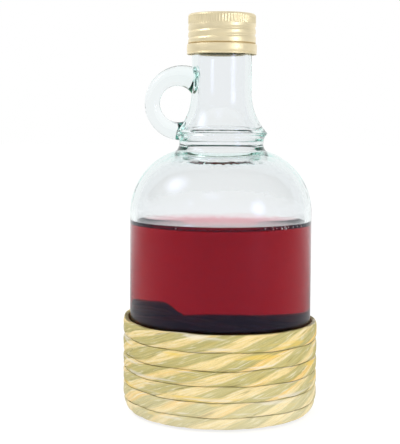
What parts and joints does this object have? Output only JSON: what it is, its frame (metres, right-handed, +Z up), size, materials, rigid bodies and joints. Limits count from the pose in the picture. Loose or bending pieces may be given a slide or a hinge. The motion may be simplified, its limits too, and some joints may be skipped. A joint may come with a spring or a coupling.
{
  "type": "liquor bottle",
  "caption": "Clear glass liquor bottle with a round shoulder, a finger ring on the neck, a rolled aluminium cap, red liquor inside and a husk cord wound round its foot.",
  "frame": {"origin": "middle of the glass standing ring, on the surface the bottle stands on", "axes": "+Z up along the bottle's axis, finger ring towards -X"},
  "size_m": [0.0914, 0.0914, 0.1854],
  "materials": {
    "clear_glass": "clear, faintly green container glass",
    "red_liquor": "clear deep red liquid",
    "champagne_aluminium": "pale gold lacquered aluminium, satin",
    "husk_cord": "twisted dry husk cord in cream yellow and sage green"
  },
  "bodies": {
    "root": {"glass_bottle": "clear_glass", "liquor": "red_liquor", "rolled_cap": "champagne_aluminium", "husk_wrap": "husk_cord"}
  },
  "joints": []
}
